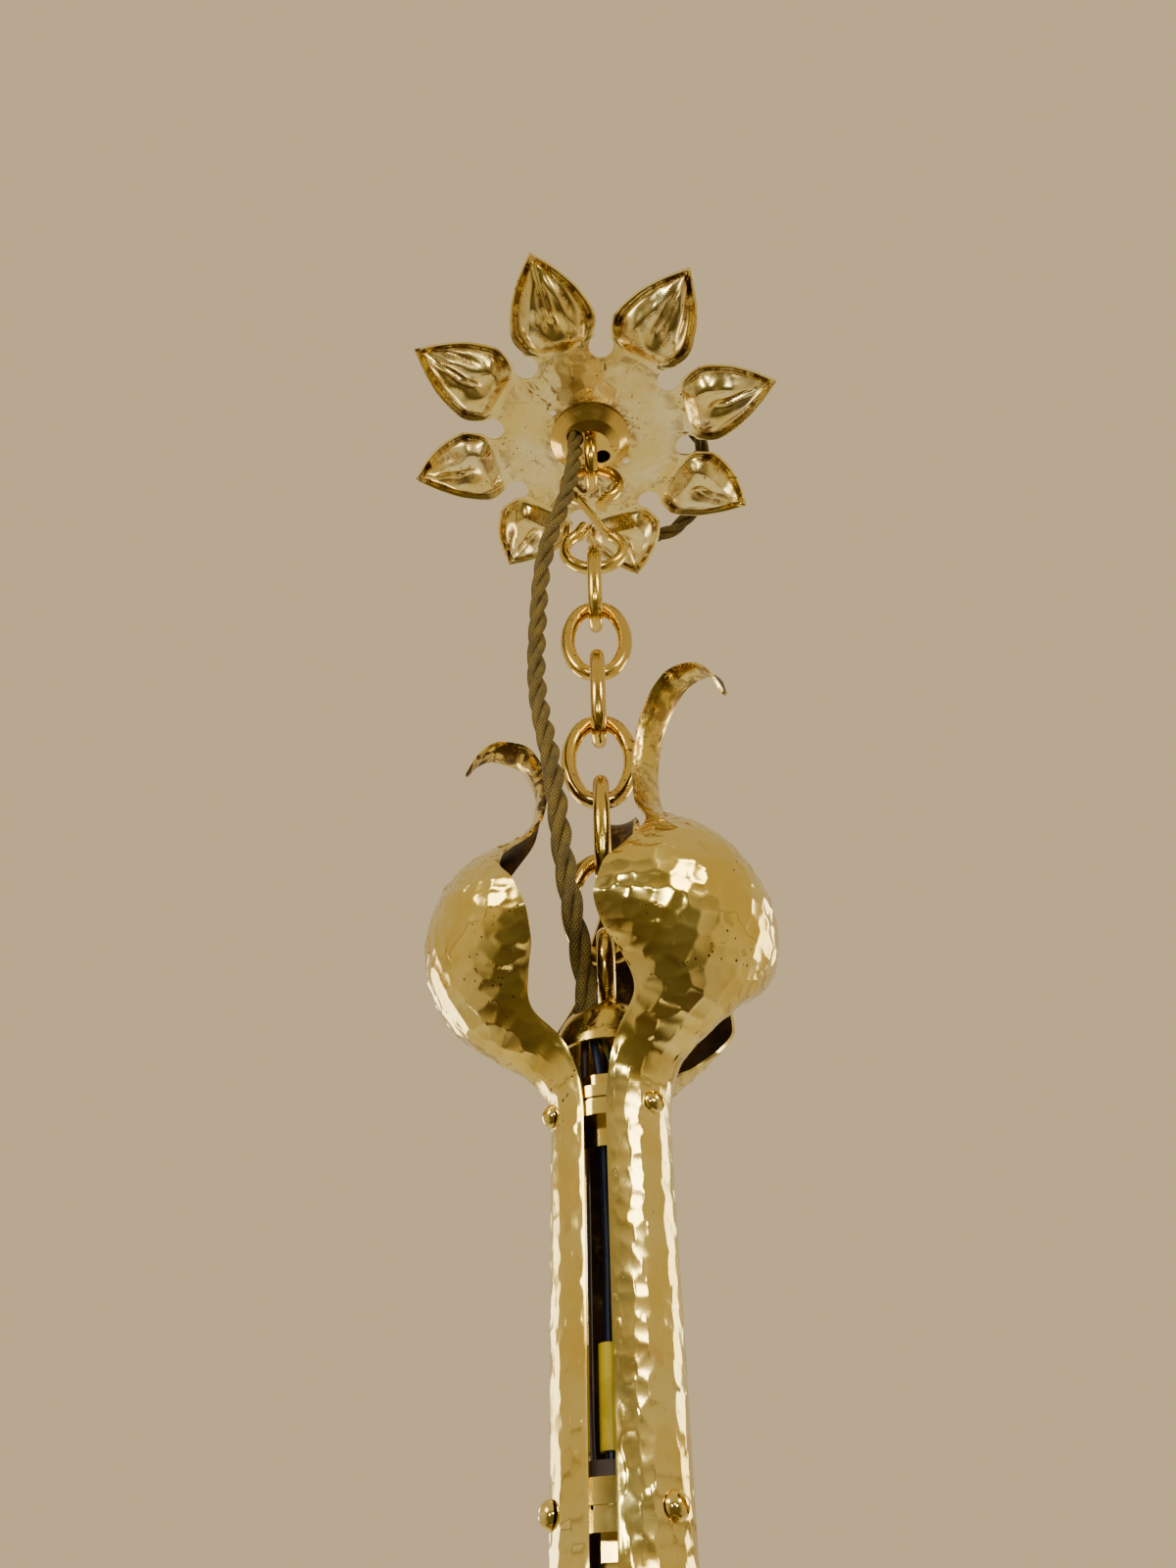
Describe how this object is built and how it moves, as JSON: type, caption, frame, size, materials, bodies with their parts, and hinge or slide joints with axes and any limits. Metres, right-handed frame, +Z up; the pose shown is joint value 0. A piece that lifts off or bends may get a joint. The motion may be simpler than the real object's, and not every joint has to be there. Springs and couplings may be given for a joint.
{
  "type": "hanging lamp",
  "caption": "Hanging lamp of hammered brass: petalled ceiling plate, hook and link chain, split leaf-strap stem with curling leaf tops, glass shade.",
  "frame": {"origin": "midway between the ceiling plate's two screw holes, on the back of the plate", "axes": "+Z up, towards the ceiling; -Y towards the gap between the two front leaf straps"},
  "size_m": [0.1718, 0.1718, 0.6505],
  "materials": {
    "polished_brass": "polished, lightly worn lacquer",
    "hammered_brass": "planished, polished, brown patina in the hollows",
    "patinated_brass": "raised, polished, with dark brown patina in the hollows",
    "steel": "bright zinc",
    "braid": "olive and gold braided cotton",
    "blue_pvc": "satin",
    "brown_pvc": "satin",
    "earth_pvc": "satin, green with yellow stripes",
    "yellow_pvc": "satin",
    "fibre": "dull vulcanised fibre",
    "black_plastic": "glossy moulded",
    "opal_glass": "opal, satin",
    "bulb_glass": "pearl"
  },
  "bodies": {
    "ceiling_fitting": {"ceiling_plate": "patinated_brass", "boss_cup": "polished_brass", "ring_bolt": "polished_brass", "ring_bolt_washer": "steel", "ring_bolt_nut": "steel", "flex_tail": "braid", "flex": "braid"},
    "s_hook": {"s_hook": "polished_brass"},
    "link_1": {"link_1": "polished_brass"},
    "link_2": {"link_2": "polished_brass"},
    "link_3": {"link_3": "polished_brass"},
    "link_4": {"link_4": "polished_brass"},
    "link_5": {"link_5": "polished_brass"},
    "link_6": {"link_6": "polished_brass"},
    "stem": {"eye_bolt": "polished_brass", "stem_cap": "polished_brass", "cap_nut": "steel", "upper_locknut": "polished_brass", "upper_collar": "polished_brass", "collar_nut": "polished_brass", "leaf_front_right": "hammered_brass", "leaf_front_left": "hammered_brass", "leaf_back": "hammered_brass", "upper_screws": "polished_brass", "lower_screws": "polished_brass", "fibre_washer": "fibre", "lower_collar": "polished_brass", "lower_locknut": "polished_brass", "nipple": "polished_brass", "gallery": "polished_brass", "gallery_thumbscrews": "polished_brass", "glass_shade": "opal_glass", "lampholder_cap": "polished_brass", "lampholder_body": "black_plastic", "shade_ring": "black_plastic", "bulb_cap": "steel", "bulb_glass": "bulb_glass", "core_blue": "blue_pvc", "core_brown": "brown_pvc", "core_earth": "earth_pvc", "splice_sleeve": "yellow_pvc"}
  },
  "joints": [
    {"name": "s_hook_swing", "type": "hinge", "parent": "ceiling_fitting", "child": "s_hook", "pos_m": [0, 0, -0.0322], "axis": [0, 1, 0], "range_deg": [-12, 12], "deforming": ["flex"]},
    {"name": "link_1_swing", "type": "hinge", "parent": "s_hook", "child": "link_1", "pos_m": [0, 0, -0.0976], "axis": [1, 0, 0], "range_deg": [-12, 12], "deforming": ["flex"]},
    {"name": "link_2_swing", "type": "hinge", "parent": "link_1", "child": "link_2", "pos_m": [0, 0, -0.1294], "axis": [0, 1, 0], "range_deg": [-8, 8], "deforming": ["flex"]},
    {"name": "link_3_swing", "type": "hinge", "parent": "link_2", "child": "link_3", "pos_m": [0, 0, -0.1612], "axis": [1, 0, 0], "range_deg": [-8, 8], "deforming": ["flex"]},
    {"name": "link_4_swing", "type": "hinge", "parent": "link_3", "child": "link_4", "pos_m": [0, 0, -0.193], "axis": [0, 1, 0], "range_deg": [-6, 6], "deforming": ["flex"]},
    {"name": "link_5_swing", "type": "hinge", "parent": "link_4", "child": "link_5", "pos_m": [0, 0, -0.2248], "axis": [1, 0, 0], "range_deg": [-6, 6], "deforming": ["flex"]},
    {"name": "link_6_swing", "type": "hinge", "parent": "link_5", "child": "link_6", "pos_m": [0, 0, -0.2566], "axis": [0, 1, 0], "range_deg": [-4, 4], "deforming": ["flex"]},
    {"name": "stem_swing", "type": "hinge", "parent": "link_6", "child": "stem", "pos_m": [0, 0, -0.2884], "axis": [1, 0, 0], "range_deg": [-4, 4], "deforming": ["flex"]}
  ]
}
